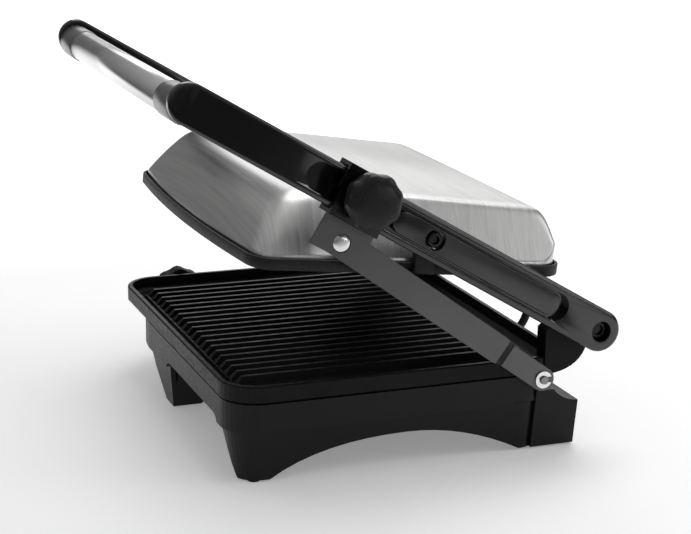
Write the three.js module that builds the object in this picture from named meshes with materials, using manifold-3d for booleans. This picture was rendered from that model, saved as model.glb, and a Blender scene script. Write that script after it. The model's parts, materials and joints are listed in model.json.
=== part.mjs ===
// Panini press, shown open: a floating upper grill hangs in a U-shaped handle that is
// hinged at the back of the base, and a steel stay with a clamp holds it at a height.
// Millimetres, +Z up, +X from the front to the back, +Y to the user's left.
// While the parts are built, X = 0 is the front of the lower rim and the rubber feet stand at
// FOOT_BOTTOM.
import * as THREE from 'three';
import { mergeVertices } from 'three/addons/utils/BufferGeometryUtils.js';
import Module from 'manifold-3d';

const wasm = await Module();
wasm.setup();

// ---- driving dimensions ------------------------------------------------------------
const GAP = 0.3;                       // between pieces that touch

// lower grill plate, one casting with its rim and hinge lugs
const PLATE_DEPTH = 226.5;
const PLATE_HALF_WIDTH = 134.2;
const PLATE_CORNER = 24;
const PLATE_UNDER = 49.3;
const RIM_TOP = 60.7;
const RIM_WALL = 3.2;
const GUTTER_FLOOR = 52;
const DECK_TOP = 54.5;                 // the valleys between the ridges
const RIDGE_TOP = 59;
const RIDGE_PITCH = 11;
const RIDGE_COUNT = 20;
const RIDGE_FOOT = 6.4;                // width of a ridge at its foot
const DECK = { x0: 10, x1: 212, half: 110 };

// base housing
const HOUSING_TOP = PLATE_UNDER - GAP;
const HOUSING = { x0: 2, x1: 219, half: 132.7, corner: 22, frontLeft: 75, wall: 3 };
const SKIRT_BOTTOM = 30.5;
const SKIRT_PROUD = 1.2;
const SKIRT_STEP = 1.6;                // how far the wall under the skirt is set back
const SKIRT_END = 196;                 // the skirt stops short of the hinge lugs
const FOOT_BOTTOM = -3.2;
const LEG_BOTTOM = -2.2;
const LEG_TAPER = 6.5;                 // how far the legs draw in towards the worktop
const LEG_FLOOR = 4;                   // top of the closed leg bottoms
const FRONT_LEG = [24, 42];            // the left front leg stands under the swept corner
const FRONT_ARCH_TOP = 35;
const REAR_ARCH_TOP = 25;
const COVER = { z0: 35.4, z1: 37.2 };

// hinge, arms and grip
const HINGE = { x: 239, z: 79.7 };
const ARM_TILT = THREE.MathUtils.degToRad(30.6);
const ARM_HALF = 13.4;                 // half the arm's height
const ARM_INNER = 140;
const ARM_OUTER = 152;
const ARM_TIP = 308;                   // from the hinge to the middle of the grip
const ARM_TIP_RADIUS = 12.6;
const ARM_BOW = { from: 245, depth: 6.5 };   // the outer face curves in towards the grip
const CHANNEL = { from: 29, to: 228.6, half: 9, floor: 147 };
const INSERT = { from: 34.7, to: 164, half: 7.4, face: 150 };
const GRIP = { radius: 10.3, half: 110, drop: 2.5, collar: 11 };

// lid, in its own frame: X along the lid, Z up, origin on the pivot axis
const LID_PIVOT = 133;                 // along the arm from the hinge
const LID_TILT = THREE.MathUtils.degToRad(6.15);
const LID = { x0: -115, x1: 101, half: 135, corner: 20, bow: 6 };
const LID_RIM = { z0: -25, z1: -17.7, wall: 2 };
const DOME = { inset: 3.4, crease: 104 };
const UPPER = { under: -24.5, top: -20, ridge: -28.2, x0: -92, x1: 83, inset: 14.3 };

// stay and its clamp
const STAY_PIN = { x: 206, z: 47.6, radius: 2.5 };
const CLAMP_AT = 187.5;                // along the arm from the hinge
const RIVET = { along: 184, below: 28.4, radius: 5 };
const KNOB = { along: 190, up: 2.5, radius: 16, from: 158.6, to: 175 };
const STRIP = { thick: 2, half: 9, endHalf: 7.75, jogFrom: 30, jogTo: 42 };
const STRIP_OUTER = 143.2;             // outer face beside the clamp tab
const STRIP_END_OUTER = 139.2;         // outer face beside the base

// temperature dial
const DIAL = { x: 46, z: 45.5, radius: 18, from: 136.5, to: 148.5 };

// ---- shape helpers -------------------------------------------------------------------
const bare = (geometry) => {
  const copy = geometry.clone();
  copy.deleteAttribute('normal');
  if (copy.getAttribute('uv')) copy.deleteAttribute('uv');
  return mergeVertices(copy);
};

// A closed three.js geometry as a solid, with its faces turned outwards.
function solid(geometry) {
  const merged = bare(geometry);
  const at = merged.getAttribute('position');
  const faces = Array.from(merged.index.array);
  const kept = [];
  let volume = 0;
  const [a, b, c] = [0, 1, 2].map(() => new THREE.Vector3());
  for (let i = 0; i < faces.length; i += 3) {
    const [p, q, r] = faces.slice(i, i + 3);
    if (p === q || q === r || r === p) continue;
    kept.push(p, q, r);
    volume += a.fromBufferAttribute(at, p).dot(
      b.fromBufferAttribute(at, q).cross(c.fromBufferAttribute(at, r)));
  }
  if (volume < 0) kept.reverse();
  return new wasm.Manifold(new wasm.Mesh({
    numProp: 3,
    vertProperties: new Float32Array(at.array),
    triVerts: new Uint32Array(kept),
  }));
}

function toGeometry(body) {
  const mesh = body.getMesh();
  const geometry = new THREE.BufferGeometry();
  geometry.setAttribute('position', new THREE.BufferAttribute(mesh.vertProperties, 3));
  geometry.setIndex(new THREE.BufferAttribute(mesh.triVerts, 1));
  return geometry;
}

const join = (bodies) => bodies.reduce((whole, body) => whole.add(body));
const cut = (body, tools) => tools.reduce((rest, tool) => rest.subtract(tool), body);

const box = (x0, x1, y0, y1, z0, z1) => solid(
  new THREE.BoxGeometry(x1 - x0, y1 - y0, z1 - z0)
    .translate((x0 + x1) / 2, (y0 + y1) / 2, (z0 + z1) / 2));

// A box whose top face is drawn in by `slopeX` and `slopeY` on every side.
function frustum(x0, x1, y0, y1, z0, z1, slopeX, slopeY) {
  const geometry = new THREE.BoxGeometry(x1 - x0, y1 - y0, z1 - z0);
  const at = geometry.getAttribute('position');
  const kx = 1 - (2 * slopeX) / (x1 - x0);
  const ky = 1 - (2 * slopeY) / (y1 - y0);
  for (let i = 0; i < at.count; i += 1) {
    if (at.getZ(i) > 0) at.setXY(i, at.getX(i) * kx, at.getY(i) * ky);
  }
  return solid(geometry.translate((x0 + x1) / 2, (y0 + y1) / 2, (z0 + z1) / 2));
}

// Round bars along each axis, from `a0` to `a1` on that axis.
const barY = (radius, x, z, a0, a1, sides = 20) => solid(
  new THREE.CylinderGeometry(radius, radius, Math.abs(a1 - a0), sides)
    .translate(x, (a0 + a1) / 2, z));
const barX = (radius, y, z, a0, a1, sides = 16) => solid(
  new THREE.CylinderGeometry(radius, radius, a1 - a0, sides)
    .rotateZ(Math.PI / 2).translate((a0 + a1) / 2, y, z));
const barZ = (radius, x, y, a0, a1, sides = 12) => solid(
  new THREE.CylinderGeometry(radius, radius, a1 - a0, sides)
    .rotateX(Math.PI / 2).translate(x, y, (a0 + a1) / 2));
const ringY = (outer, inner, x, z, a0, a1, sides = 20) =>
  barY(outer, x, z, a0, a1, sides).subtract(barY(inner, x, z, a0 - 1, a1 + 1, sides));

// A shape drawn in X and Z, given thickness between y0 and y1.
function plateXZ(shape, y0, y1, bevel = 0, curveSegments = 8) {
  const geometry = new THREE.ExtrudeGeometry(shape, {
    depth: y1 - y0 - 2 * bevel,
    bevelEnabled: bevel > 0,
    bevelSize: bevel,
    bevelThickness: bevel,
    bevelOffset: -bevel,
    bevelSegments: bevel > 1 ? 2 : 1,
    curveSegments,
  });
  return solid(geometry.translate(0, 0, bevel).rotateX(Math.PI / 2).translate(0, y1, 0));
}

// A shape drawn in Y and Z, given thickness between x0 and x1.
function plateYZ(shape, x0, x1) {
  const geometry = new THREE.ExtrudeGeometry(shape, {
    depth: x1 - x0, bevelEnabled: false, curveSegments: 10,
  });
  return solid(geometry.rotateX(Math.PI / 2).rotateZ(Math.PI / 2).translate(x0, 0, 0));
}

const polygon = (points) => new THREE.Shape(points.map(([x, y]) => new THREE.Vector2(x, y)));

// A slot with round ends, from x0 to x1 and `half` to each side.
function slot(x0, x1, half) {
  const shape = new THREE.Shape();
  shape.absarc(x1 - half, 0, half, -Math.PI / 2, Math.PI / 2);
  shape.absarc(x0 + half, 0, half, Math.PI / 2, 1.5 * Math.PI);
  shape.closePath();
  return shape;
}

// Points and outward normals round a rectangle with round corners. `bow` pushes the
// middle of the front edge out.
function outline(shape, steps = 5, bowSteps = 6) {
  const { x0, x1, half, corner, frontLeft = corner, bow = 0 } = shape;
  const points = [];
  const centres = [
    [x1 - corner, half - corner, 0, corner],
    [x0 + frontLeft, half - frontLeft, 1, frontLeft],
    [x0 + corner, corner - half, 2, corner],
    [x1 - corner, corner - half, 3, corner],
  ];
  centres.forEach(([cx, cy, quarter, radius]) => {
    for (let i = 0; i <= steps; i += 1) {
      const angle = (quarter + i / steps) * Math.PI / 2;
      const normal = new THREE.Vector2(Math.cos(angle), Math.sin(angle));
      points.push({ at: new THREE.Vector2(cx, cy).addScaledVector(normal, radius), normal });
    }
    if (quarter === 1 && bow > 0) {
      for (let i = 1; i < bowSteps; i += 1) {
        const y = THREE.MathUtils.lerp(half - corner, corner - half, i / bowSteps);
        points.push({ at: new THREE.Vector2(x0, y), normal: new THREE.Vector2(-1, 0) });
      }
    }
  });
  const reach = half - corner;
  points.forEach(({ at }) => {
    const share = Math.min(1, (at.y / reach) ** 2);
    const nearFront = THREE.MathUtils.clamp((x0 + corner - at.x) / corner, 0, 1);
    at.x += bow * share * nearFront;
  });
  return points;
}

// Carries a profile round an outline. A profile point is [scale, offset, z]: scale 1 stays
// on the outline, 0 is the middle, and the offset is outwards. A profile that starts and
// ends at scale 0 makes a solid body, and one that closes on itself makes a ring.
function around(points, profile, height = (x, y, z) => z) {
  const lathe = new THREE.LatheGeometry(
    profile.map(([scale, , z]) => new THREE.Vector2(scale, z)), points.length);
  const xs = points.map(({ at }) => at.x);
  const middle = new THREE.Vector2((Math.min(...xs) + Math.max(...xs)) / 2, 0);
  const position = lathe.getAttribute('position');
  for (let i = 0; i < position.count; i += 1) {
    const { at, normal } = points[Math.floor(i / profile.length) % points.length];
    const [scale, offset, z] = profile[i % profile.length];
    const spot = middle.clone().lerp(at, scale).addScaledVector(normal, offset);
    position.setXYZ(i, spot.x, spot.y, height(spot.x, spot.y, z));
  }
  return solid(lathe);
}

const slab = (shape, offset, z0, z1) =>
  around(shape, [[0, 0, z0], [1, offset, z0], [1, offset, z1], [0, 0, z1]]);

// A round tube along a smooth curve.
function tube(points, radius, steps, sides) {
  const curve = new THREE.CatmullRomCurve3(points.map((p) => new THREE.Vector3(...p)));
  const section = new THREE.Shape();
  section.absarc(0, 0, radius, 0, 2 * Math.PI);
  return solid(new THREE.ExtrudeGeometry(section, {
    steps, extrudePath: curve, curveSegments: sides / 2, bevelEnabled: false,
  }));
}

// ---- materials -----------------------------------------------------------------------
const finish = (color, roughness, metalness) => () =>
  new THREE.MeshStandardMaterial({ color, roughness, metalness });
const castBlack = finish(0x2b2b2d, 0.55, 0.3);
const satinBlack = finish(0x232325, 0.4, 0);
const glossBlack = finish(0x0d0d0f, 0.15, 0);
const nonStick = finish(0x17171a, 0.35, 0.1);
const brushedSteel = finish(0xc9c9c7, 0.32, 1);
const polishedSteel = finish(0xe2e2e2, 0.1, 1);
const plainSteel = finish(0x8d8f92, 0.4, 1);
const rubber = finish(0x1b1b1b, 0.9, 0);
const ceramic = finish(0xdedad0, 0.6, 0);

const part = new THREE.Group();
const frameAt = (parent, x, z, angle) => {
  const group = new THREE.Group();
  group.position.set(x, 0, z);
  group.rotation.y = angle;
  parent.add(group);
  return group;
};
const base = frameAt(part, 0, 0, 0);
const handle = frameAt(part, HINGE.x, HINGE.z, ARM_TILT);
const lid = frameAt(handle, -LID_PIVOT, 0, LID_TILT - ARM_TILT);
const clamp = frameAt(handle, -CLAMP_AT, 0, 0);

const rivetSpot = new THREE.Vector2(-RIVET.along, -RIVET.below).rotateAround(
  new THREE.Vector2(), -ARM_TILT).add(new THREE.Vector2(HINGE.x, HINGE.z));
const stayRun = rivetSpot.clone().sub(new THREE.Vector2(STAY_PIN.x, STAY_PIN.z));
const STAY_LENGTH = stayRun.length();
const stay = frameAt(part, STAY_PIN.x, STAY_PIN.z, Math.atan2(stayRun.y, -stayRun.x));

function add(parent, name, body, material) {
  const mesh = new THREE.Mesh(toGeometry(body), material());
  mesh.name = name;
  parent.add(mesh);
}

// ---- base ----------------------------------------------------------------------------
const plateOutline = outline({
  x0: 0, x1: PLATE_DEPTH, half: PLATE_HALF_WIDTH, corner: PLATE_CORNER,
}, 9);
const housingOutline = outline(HOUSING, 9);
const SCREW_SPOTS = [[75, -112], [75, 112], [165, -112], [165, 112]];
const SPINDLE_RADIUS = 3;
const PIN_BOSS = { radius: 7, y0: -135.6, y1: -133.1 };

function ridges(x0, x1, foot, tip) {
  const width = RIDGE_FOOT;
  const low = Math.min(foot, tip);
  const high = Math.max(foot, tip);
  return Array.from({ length: RIDGE_COUNT }, (_, i) => {
    const y = (i - (RIDGE_COUNT - 1) / 2) * RIDGE_PITCH;
    const bar = frustum(x0, x1, y - width / 2, y + width / 2, low, high, 5, 1.9);
    return tip > foot ? bar : bar.mirror([0, 0, 1]).translate([0, 0, low + high]);
  });
}

// The side view of a hinge lug: upright front, round head, rounded underside.
function lugShape() {
  const headRadius = 12.5;
  const shape = new THREE.Shape();
  shape.moveTo(209.5, PLATE_UNDER);
  shape.lineTo(209.5, 78);
  shape.lineTo(224, 89.2);
  shape.absarc(HINGE.x, HINGE.z, headRadius, THREE.MathUtils.degToRad(125), -Math.PI / 2, true);
  shape.quadraticCurveTo(235, 52, 216, PLATE_UNDER);
  return shape;
}

function lowerGrillPlate() {
  const casting = around(plateOutline, [
    [0, 0, PLATE_UNDER], [1, -1.2, PLATE_UNDER], [1, 0, PLATE_UNDER + 1.4],
    [1, 0, RIM_TOP - 0.8], [1, -0.8, RIM_TOP], [0, 0, RIM_TOP],
  ]);
  const dish = around(plateOutline, [
    [0, 0, GUTTER_FLOOR], [1, -RIM_WALL - 4, GUTTER_FLOOR], [1, -RIM_WALL - 1, GUTTER_FLOOR + 2],
    [1, -RIM_WALL, RIM_TOP + 1], [0, 0, RIM_TOP + 1],
  ]);
  const deck = frustum(
    DECK.x0, DECK.x1, -DECK.half, DECK.half, GUTTER_FLOOR - 1, DECK_TOP, 2, 2);
  const lugs = [-1, 1].map((side) => {
    const [y0, y1] = side < 0 ? [-134, -122] : [122, 134];
    return plateXZ(lugShape(), y0, y1);
  });
  const pillars = SCREW_SPOTS.map(([x, y]) => barZ(5, x, y, COVER.z1 + GAP, PLATE_UNDER + 1));
  const boss = barY(PIN_BOSS.radius, STAY_PIN.x, STAY_PIN.z, PIN_BOSS.y0, PIN_BOSS.y1);
  const web = box(199, 213, PIN_BOSS.y1 - 0.9, PIN_BOSS.y1 + 2.6, PLATE_UNDER, PLATE_UNDER + 5);
  const holes = [
    barY(4.3, HINGE.x, HINGE.z, -136, 136),
    barY(STAY_PIN.radius + GAP, STAY_PIN.x, STAY_PIN.z, -137, -131.5),
    ...SCREW_SPOTS.map(([x, y]) => barZ(2.3, x, y, COVER.z1 - 1, COVER.z1 + 12)),
  ];
  const whole = join([
    casting.subtract(dish), deck, ...lugs, ...pillars, boss, web,
    ...ridges(DECK.x0 + 2, DECK.x1 - 2, DECK_TOP - 0.5, RIDGE_TOP),
  ]);
  return cut(whole, holes);
}

// The skirt stands proud of the housing and ends in a rounded corner on each side.
function skirt() {
  const band = slab(housingOutline, SKIRT_PROUD, SKIRT_BOTTOM, HOUSING_TOP);
  const reach = new THREE.Shape();
  reach.moveTo(-10, SKIRT_BOTTOM - 1);
  reach.lineTo(SKIRT_END - 16, SKIRT_BOTTOM - 1);
  reach.quadraticCurveTo(SKIRT_END, SKIRT_BOTTOM, SKIRT_END, SKIRT_BOTTOM + 14);
  reach.lineTo(SKIRT_END, HOUSING_TOP + 1);
  reach.lineTo(-10, HOUSING_TOP + 1);
  return band.intersect(plateXZ(reach, -140, 140));
}

// The step behind the plate that the back legs grow from, with a scooped top.
function rearLedge() {
  const shape = new THREE.Shape();
  shape.moveTo(205, LEG_BOTTOM);
  shape.lineTo(235.6, LEG_BOTTOM);
  shape.lineTo(235.6, 28.6);
  shape.quadraticCurveTo(225, 29, 217, 38);
  shape.lineTo(205, 38);
  const half = HOUSING.half + 0.6;
  const tapered = frustum(200, 240, -half, half, LEG_BOTTOM, 39, 0, LEG_TAPER)
    .mirror([0, 0, 1]).translate([0, 0, LEG_BOTTOM + 39]);
  return plateXZ(shape, -half, half).intersect(tapered);
}

// The inner wall that closes the left front leg, which stands clear of the side walls.
const legWall = () =>
  box(9.5, 30, FRONT_LEG[0] - 30, FRONT_LEG[1] + 40, LEG_BOTTOM, COVER.z0 - GAP);

// The room inside the back legs, up to the step that closes them.
const rearHollow = () =>
  box(199, 216, 10 - HOUSING.half, HOUSING.half - 10, LEG_FLOOR, HOUSING_TOP + 1);

function sideArch() {
  const shape = new THREE.Shape();
  shape.moveTo(28, LEG_BOTTOM - 1);
  shape.lineTo(28, LEG_BOTTOM);
  shape.quadraticCurveTo(60, 19.6, 117.5, 19.6);
  shape.quadraticCurveTo(156, 19.6, 197, LEG_BOTTOM);
  shape.lineTo(197, LEG_BOTTOM - 1);
  return plateXZ(shape, -150, 150);
}

// The opening between two legs, from y0 to y1 at their feet and from x0 to x1. Its sides
// lean in by `lean` up to its top.
function crossArch([y0, y1], [x0, x1], top, [lean0, lean1]) {
  const shape = new THREE.Shape();
  shape.moveTo(y0, LEG_BOTTOM - 1);
  shape.lineTo(y0, LEG_BOTTOM);
  shape.lineTo(y0 + lean0 * 0.85, top - 6);
  shape.quadraticCurveTo(y0 + lean0, top, y0 + lean0 + 8, top);
  shape.lineTo(y1 - lean1 - 8, top);
  shape.quadraticCurveTo(y1 - lean1, top, y1 - lean1 * 0.85, top - 6);
  shape.lineTo(y1, LEG_BOTTOM);
  shape.lineTo(y1, LEG_BOTTOM - 1);
  return plateYZ(shape, x0, x1);
}

const FOOT_SPOTS = {
  front_right: [19, -121.4], front_left: [19, 33], rear_right: [216, -118.8], rear_left: [216, 118.8],
};
const FOOT_RADIUS = 3.8;
const DUCTS = { lead: { y: -30, z: 42.5 }, mains: { y: 62, z: 42.5 } };

function baseHousing() {
  const shell = around(housingOutline, [
    [0, 0, LEG_BOTTOM], [1, -LEG_TAPER, LEG_BOTTOM], [1, -SKIRT_STEP, SKIRT_BOTTOM],
    [1, 0, SKIRT_BOTTOM + 1], [1, 0, HOUSING_TOP], [0, 0, HOUSING_TOP],
  ]);
  const hollow = around(housingOutline, [
    [0, 0, LEG_FLOOR], [1, -HOUSING.wall - LEG_TAPER, LEG_FLOOR],
    [1, -HOUSING.wall - SKIRT_STEP, SKIRT_BOTTOM], [1, -HOUSING.wall, SKIRT_BOTTOM + 1],
    [1, -HOUSING.wall, HOUSING_TOP + 1], [0, 0, HOUSING_TOP + 1],
  ]);
  const room = slab(housingOutline, -HOUSING.wall, COVER.z0 - GAP, HOUSING_TOP + 1);
  const [legRight, legLeft] = FRONT_LEG;
  const front = [-20, 110];
  const whole = join([
    shell.subtract(hollow), skirt().subtract(hollow), legWall(), rearLedge().subtract(room),
  ]);
  const body = cut(whole, [
    rearHollow(), sideArch(),
    crossArch([-117, legRight], front, FRONT_ARCH_TOP, [15, 12]),
    crossArch([legLeft, 240], front, FRONT_ARCH_TOP, [30, 30]),
    crossArch([-112, 112], [109, 250], REAR_ARCH_TOP, [18, 18]),
  ]);
  return cut(body, [
    barY(SPINDLE_RADIUS + GAP, DIAL.x, DIAL.z, 120, 140),
    barX(4.3, DUCTS.lead.y, DUCTS.lead.z, 210, 225),
    barX(5.1, DUCTS.mains.y, DUCTS.mains.z, 210, 225),
    ...Object.values(FOOT_SPOTS).map(([x, y]) => barZ(2.3, x, y, FOOT_BOTTOM, LEG_FLOOR - 2)),
  ]);
}

function bottomCover() {
  const plate = slab(housingOutline, -HOUSING.wall - GAP, COVER.z0, COVER.z1);
  return cut(plate, SCREW_SPOTS.map(([x, y]) => barZ(2.3, x, y, COVER.z0 - 1, COVER.z1 + 1)));
}

function rubberFoot([x, y]) {
  const profile = [
    [0, FOOT_BOTTOM], [FOOT_RADIUS, FOOT_BOTTOM], [FOOT_RADIUS, LEG_BOTTOM - GAP],
    [2, LEG_BOTTOM - GAP], [2, LEG_FLOOR - 3], [0, LEG_FLOOR - 3],
  ].map(([r, z]) => new THREE.Vector2(r, z));
  return solid(new THREE.LatheGeometry(profile, 16).rotateX(Math.PI / 2).translate(x, y, 0));
}

const baseScrew = ([x, y]) => join([
  barZ(3.8, x, y, COVER.z0 - GAP - 2.4, COVER.z0 - GAP), barZ(2, x, y, COVER.z0 - 1, COVER.z1 + 10),
]);

// A heating rod bent into a long M, from its two cold ends at the back.
function elementRod(x0, x1, z, radius) {
  const lane = 26;
  const inner = 20;
  const route = [
    [x1, -lane * 3, z], [x0 + inner, -lane * 3, z], [x0, -lane * 2.5, z],
    [x0, -lane * 1.5, z], [x0 + inner, -lane, z], [x1 - inner * 2, -lane, z],
    [x1 - inner, 0, z], [x1 - inner * 2, lane, z], [x0 + inner, lane, z],
    [x0, lane * 1.5, z], [x0, lane * 2.5, z], [x0 + inner, lane * 3, z], [x1, lane * 3, z],
  ];
  return tube(route, radius, 52, 8);
}

function tray(x0, x1, half, z, lip) {
  const pan = box(x0, x1, -half, half, z, z + lip);
  return pan.subtract(box(x0 + 1.2, x1 - 1.2, -half + 1.2, half - 1.2, z + 1.2, z + lip + 1));
}

function gland(duct, radius, bore) {
  const sleeve = join([
    barX(radius, duct.y, duct.z, 214, 228),
    barX(radius + 1.5, duct.y, duct.z, HOUSING.x1 + GAP, HOUSING.x1 + 3.5),
  ]);
  return sleeve.subtract(barX(bore, duct.y, duct.z, 218, 230));
}

add(base, 'base_housing', baseHousing(), satinBlack);
add(base, 'lower_grill_plate', lowerGrillPlate(), nonStick);
add(base, 'bottom_cover', bottomCover(), satinBlack);
Object.entries(FOOT_SPOTS).forEach(([name, spot]) => {
  add(base, `foot_${name}`, rubberFoot(spot), rubber);
});
SCREW_SPOTS.forEach((spot, i) => add(base, `base_screw_${i + 1}`, baseScrew(spot), plainSteel));
add(base, 'lower_heating_element', elementRod(30, 195, 45.4, 3.2), plainSteel);
add(base, 'lower_reflector', tray(44, 190, 92, 38, 3.6), brushedSteel);
add(base, 'thermostat', join([
  box(36, 56, 96, 111.5, 38, 48.9), barY(5, DIAL.x, DIAL.z - 2, 111, 114, 16),
]).subtract(barY(SPINDLE_RADIUS + GAP, DIAL.x, DIAL.z, 104, 120)), ceramic);
add(base, 'thermal_fuse', barX(2.5, 50, 40.5, 196, 211, 12), ceramic);
add(base, 'terminal_block', cut(box(196, 211, 10, 40, 38, 44.5), [15, 25, 35].map(
  (y) => barZ(1.6, 203.5, y, 41, 46, 10))), ceramic);
add(base, 'mains_inlet_gland', gland(DUCTS.mains, 4.8, 3.6), rubber);
add(base, 'base_lead_gland', gland(DUCTS.lead, 4, 3.1), rubber);

// ---- temperature dial, on the user's left ----------------------------------------------
function lobedShape(radius, lobes, depth, x = 0, z = 0) {
  const steps = lobes * 5;
  const points = Array.from({ length: steps }, (_, i) => {
    const angle = (i / steps) * 2 * Math.PI;
    const r = radius - depth * (0.5 - 0.5 * Math.cos(lobes * angle));
    return new THREE.Vector2(x + r * Math.cos(angle), z + r * Math.sin(angle));
  });
  return new THREE.Shape(points);
}

function temperatureDial() {
  const rim = plateXZ(lobedShape(DIAL.radius, 8, 1.6, DIAL.x, DIAL.z), DIAL.from, DIAL.to, 1.2);
  const pointer = box(DIAL.x - 1.2, DIAL.x + 1.2, DIAL.to - 1, DIAL.to + 1.2,
    DIAL.z, DIAL.z + DIAL.radius - 4);
  return join([rim, pointer]).subtract(
    barY(SPINDLE_RADIUS + GAP, DIAL.x, DIAL.z, DIAL.from - 1, DIAL.from + 8));
}

add(base, 'temperature_dial', temperatureDial(), glossBlack);
add(base, 'dial_spindle', barY(SPINDLE_RADIUS, DIAL.x, DIAL.z, 105, DIAL.from + 7), plainSteel);

// ---- hinge at the back -----------------------------------------------------------------
// Pairs are made for the right side (-Y) and mirrored to the left.
const mirrored = (body) => body.mirror([0, 1, 0]);

function hexBolt(x, z, headRadius, shankRadius, head, tip) {
  const [outer, inner] = head;
  const bolt = join([
    barY(headRadius, x, z, -outer, -inner), barY(shankRadius, x, z, -inner - 0.5, -tip, 20),
  ]);
  return bolt.subtract(barY(headRadius * 0.5, x, z, -outer - 1, -outer + 2, 6));
}

const hinge = frameAt(part, HINGE.x, HINGE.z, 0);
const hingeBolt = hexBolt(0, 0, 6, 4, [148, 144.3], 124);
const hingeSpacer = ringY(8, 4.3, 0, 0, -ARM_INNER + GAP, -134 - GAP);
[['right', (body) => body], ['left', mirrored]].forEach(([side, turn]) => {
  add(hinge, `hinge_bolt_${side}`, turn(hingeBolt), plainSteel);
  add(hinge, `hinge_spacer_${side}`, turn(hingeSpacer), plainSteel);
});

// ---- handle ----------------------------------------------------------------------------
// Along an arm the hinge is at X = 0 and the front is towards -X.
const gripX = -ARM_TIP;

function armBody() {
  const side = new THREE.Shape();
  side.absarc(0, 0, ARM_HALF, -Math.PI / 2, Math.PI / 2);
  side.absarc(-ARM_TIP, 0, ARM_TIP_RADIUS, Math.PI / 2, 1.5 * Math.PI);
  side.closePath();
  const beam = plateXZ(side, -ARM_OUTER, -ARM_INNER, 2.2, 8);
  const plan = new THREE.Shape();
  plan.moveTo(20, -ARM_OUTER - 1);
  plan.lineTo(-ARM_BOW.from, -ARM_OUTER - 1);
  plan.quadraticCurveTo(-ARM_TIP, -ARM_OUTER, -ARM_TIP - 18, ARM_BOW.depth - ARM_OUTER);
  plan.lineTo(-ARM_TIP - 18, 1 - ARM_INNER);
  plan.lineTo(20, 1 - ARM_INNER);
  const bowed = solid(new THREE.ExtrudeGeometry(plan, {
    depth: 40, bevelEnabled: false, curveSegments: 8,
  }).translate(0, 0, -20));
  const channel = plateXZ(slot(-CHANNEL.to, -CHANNEL.from, CHANNEL.half), -160, -CHANNEL.floor);
  return cut(beam.intersect(bowed), [
    channel,
    barY(6.7, 0, 0, -160, -144),
    barY(5.6, 0, 0, -160, -130),
    barY(5.1, -LID_PIVOT, 0, -160, -130),
    barY(4.3, gripX, -GRIP.drop, -ARM_INNER - 6, -ARM_INNER + 5),
  ]);
}

function armInsert() {
  const plate = plateXZ(slot(-INSERT.to, -INSERT.from, INSERT.half),
    -INSERT.face, -CHANNEL.floor - GAP, 0.6);
  return plate.subtract(barY(6.7, -LID_PIVOT, 0, -160, -140));
}

const hingeBush = ringY(5.3, 4.3, 0, 0, -143.7, -ARM_INNER, 20);
const pivotBush = ringY(4.8, 3.8, -LID_PIVOT, 0, -CHANNEL.floor + GAP, -ARM_INNER, 20);
const gripCollar = ringY(
  GRIP.collar, 4.3, gripX, -GRIP.drop, GAP - ARM_INNER, -GRIP.half - GAP, 24);
[['right', (body) => body], ['left', mirrored]].forEach(([side, turn]) => {
  add(handle, `arm_${side}`, turn(armBody()), glossBlack);
  add(handle, `arm_insert_${side}`, turn(armInsert()), glossBlack);
  add(handle, `hinge_bush_${side}`, turn(hingeBush), plainSteel);
  add(handle, `pivot_bush_${side}`, turn(pivotBush), plainSteel);
  add(handle, `grip_collar_${side}`, turn(gripCollar), polishedSteel);
});
add(handle, 'grip_tube',
  ringY(GRIP.radius, GRIP.radius - 1.1, gripX, -GRIP.drop, -GRIP.half, GRIP.half, 32),
  polishedSteel);
add(handle, 'grip_rod',
  barY(4, gripX, -GRIP.drop, -ARM_INNER - 5, ARM_INNER + 5, 16), plainSteel);

// ---- lid -------------------------------------------------------------------------------
const lidOutline = outline(LID);

// The lower of two heights, with a soft corner `r` wide where they meet.
function softMin(a, b, r) {
  const share = Math.max(r - Math.abs(a - b), 0) / r;
  return Math.min(a, b) - share * share * r / 4;
}

// Height of the steel cover over a point of the lid. Leaning front and side faces and an
// upright back rise to a crease, and the top swells from the crease to a ridge in the
// middle that falls away towards the back.
function domeHeight(x, y) {
  const { smoothstep, lerp } = THREE.MathUtils;
  const side = Math.abs(y);
  const foot = LID_RIM.z1;
  const ridge = lerp(34, 16.5, smoothstep(x, -45, 95) ** 1.15);
  const crease = lerp(30, 16.5, smoothstep(x, -95, 85));
  const swell = side < DOME.crease ? 0.5 + 0.5 * Math.cos(Math.PI * side / DOME.crease) : 0;
  const top = crease + (ridge - crease) * swell - Math.max(0, side - DOME.crease) * 0.1;
  const ahead = x - LID.x0 - DOME.inset - LID.bow * (side / LID.half) ** 2;
  const front = foot + 1.86 * ahead - 0.0175 * ahead * ahead;
  const flank = foot + 1.62 * (LID.half - DOME.inset - side) + 2;
  const back = foot + 38 * (1 - Math.exp(-(LID.x1 - DOME.inset - x) / 5.5));
  const faces = softMin(ahead < 53 ? front : 99, flank, 26);
  return softMin(softMin(top, faces, 12), back, 9);
}

function lidCover() {
  const rings = [1, 0.985, 0.965, 0.94, 0.9, 0.85, 0.79, 0.72, 0.6, 0.45, 0.25, 0];
  const thickness = 1.4;
  const foot = LID_RIM.z1 - 4;
  const outer = rings.map((scale) => [scale, -DOME.inset * scale, 1]);
  const inner = rings.map((scale) => [scale, (-DOME.inset - thickness) * scale, 0]);
  return around(lidOutline, [
    ...outer.reverse(), [1, -DOME.inset, -1], [1, -DOME.inset - thickness, -1], ...inner,
  ], (x, y, level) => {
    if (level < 0) return foot;
    const height = Math.max(domeHeight(x, y), LID_RIM.z1 + 1);
    return level === 1 ? height : Math.max(height - 2 * thickness, foot + 1.5);
  });
}

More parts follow.
